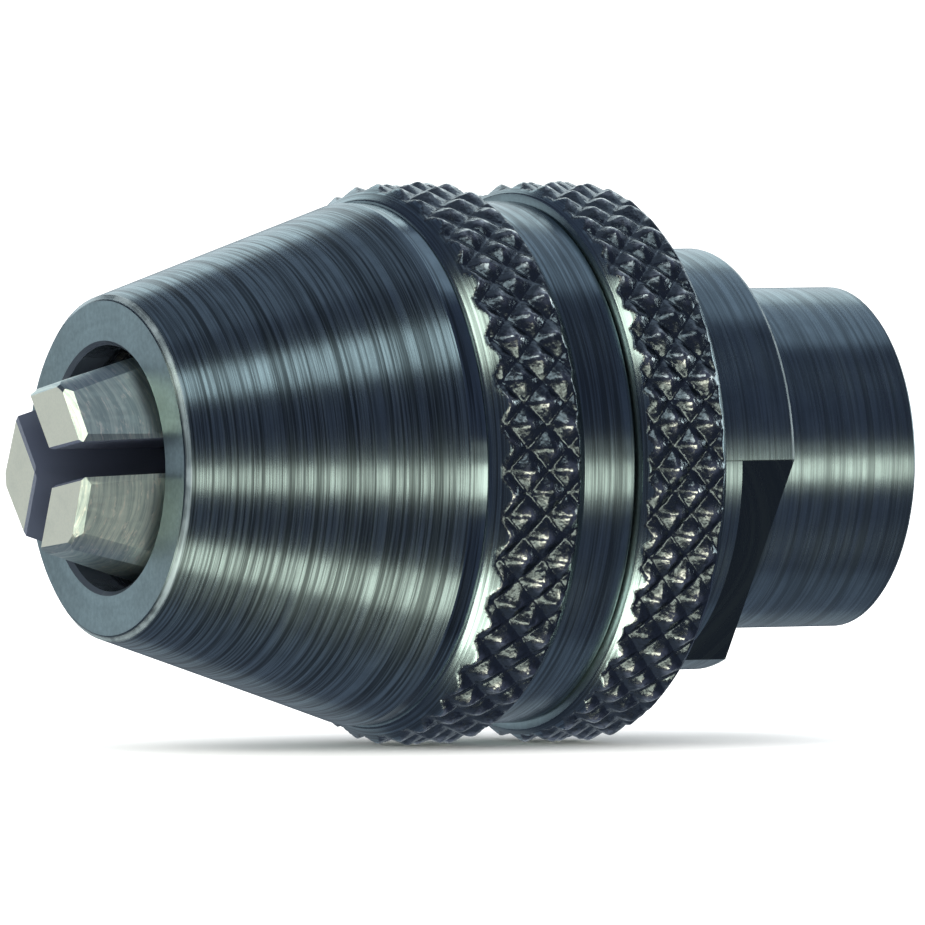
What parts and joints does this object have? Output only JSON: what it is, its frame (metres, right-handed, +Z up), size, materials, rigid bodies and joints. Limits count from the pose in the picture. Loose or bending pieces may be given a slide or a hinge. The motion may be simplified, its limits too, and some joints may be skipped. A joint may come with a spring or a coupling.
{
  "type": "drill chuck",
  "caption": "Small keyless drill chuck with conical hood, flat-tipped jaws, knurled grip rings and a threaded shank with wrench flats.",
  "frame": {"origin": "centre of the rear face, at the mouth of the spindle hole", "axes": "+Y along the axis of rotation out of the spindle hole, so the nose points along -Y; +Z up"},
  "size_m": [0.0208, 0.0331, 0.0208],
  "materials": {
    "blued_steel": "turned, blued to a dark blue grey",
    "hood_steel": "fine turned lines, blued",
    "knurled_steel": "diamond knurl, blued, worn bright on its points",
    "jaw_steel": "bright turned and ground steel",
    "inner_steel": "plain machined steel",
    "ball_steel": "polished bearing steel",
    "cage_brass": "stamped brass",
    "seal_rubber": "plain black rubber"
  },
  "bodies": {
    "body": {"chuck_body": "blued_steel", "rear_grip_ring": "knurled_steel", "dust_seal": "seal_rubber", "bearing_nut": "inner_steel", "thrust_washer_front": "inner_steel"},
    "hood": {"nose_hood": "hood_steel", "grip_sleeve": "knurled_steel", "jaw_guide": "inner_steel", "guide_retaining_ring": "inner_steel", "thrust_washer_rear": "inner_steel"},
    "ball_cage": {"ball_cage": "cage_brass", "ball_01": "ball_steel", "ball_02": "ball_steel", "ball_03": "ball_steel", "ball_04": "ball_steel", "ball_05": "ball_steel", "ball_06": "ball_steel", "ball_07": "ball_steel", "ball_08": "ball_steel", "ball_09": "ball_steel", "ball_10": "ball_steel", "ball_11": "ball_steel", "ball_12": "ball_steel", "ball_13": "ball_steel", "ball_14": "ball_steel", "ball_15": "ball_steel", "ball_16": "ball_steel"},
    "feed_screw": {"feed_screw": "inner_steel"},
    "jaw_1": {"jaw_1": "jaw_steel"},
    "jaw_2": {"jaw_2": "jaw_steel"},
    "jaw_3": {"jaw_3": "jaw_steel"}
  },
  "joints": [
    {"name": "sleeve_turn", "type": "hinge", "parent": "body", "child": "hood", "pos_m": [0, -0.014, 0], "axis": [0, 1, 0], "range_deg": [-831.4, 774.1]},
    {"name": "cage_turn", "type": "hinge", "parent": "body", "child": "ball_cage", "pos_m": [0, -0.0156, 0], "axis": [0, 1, 0], "range_deg": [-416.7, 388.1]},
    {"name": "feed_screw_slide", "type": "slide", "parent": "hood", "child": "feed_screw", "axis": [0, -1, 0], "range_m": [-0.00231, 0.00215]},
    {"name": "jaw_1_slide", "type": "slide", "parent": "hood", "child": "jaw_1", "axis": [-0.1133, -0.9511, -0.2875], "range_m": [-0.00243, 0.00226]},
    {"name": "jaw_2_slide", "type": "slide", "parent": "hood", "child": "jaw_2", "axis": [0.3056, -0.9511, 0.0457], "range_m": [-0.00243, 0.00226]},
    {"name": "jaw_3_slide", "type": "slide", "parent": "hood", "child": "jaw_3", "axis": [-0.1924, -0.9511, 0.2418], "range_m": [-0.00243, 0.00226]}
  ],
  "couplings": [
    {"joint": "cage_turn", "follows": "sleeve_turn", "ratio": 0.5},
    {"joint": "feed_screw_slide", "follows": "sleeve_turn", "m_per_rad": 0.00015915},
    {"joint": "jaw_1_slide", "follows": "sleeve_turn", "m_per_rad": 0.00016735},
    {"joint": "jaw_2_slide", "follows": "sleeve_turn", "m_per_rad": 0.00016735},
    {"joint": "jaw_3_slide", "follows": "sleeve_turn", "m_per_rad": 0.00016735}
  ]
}
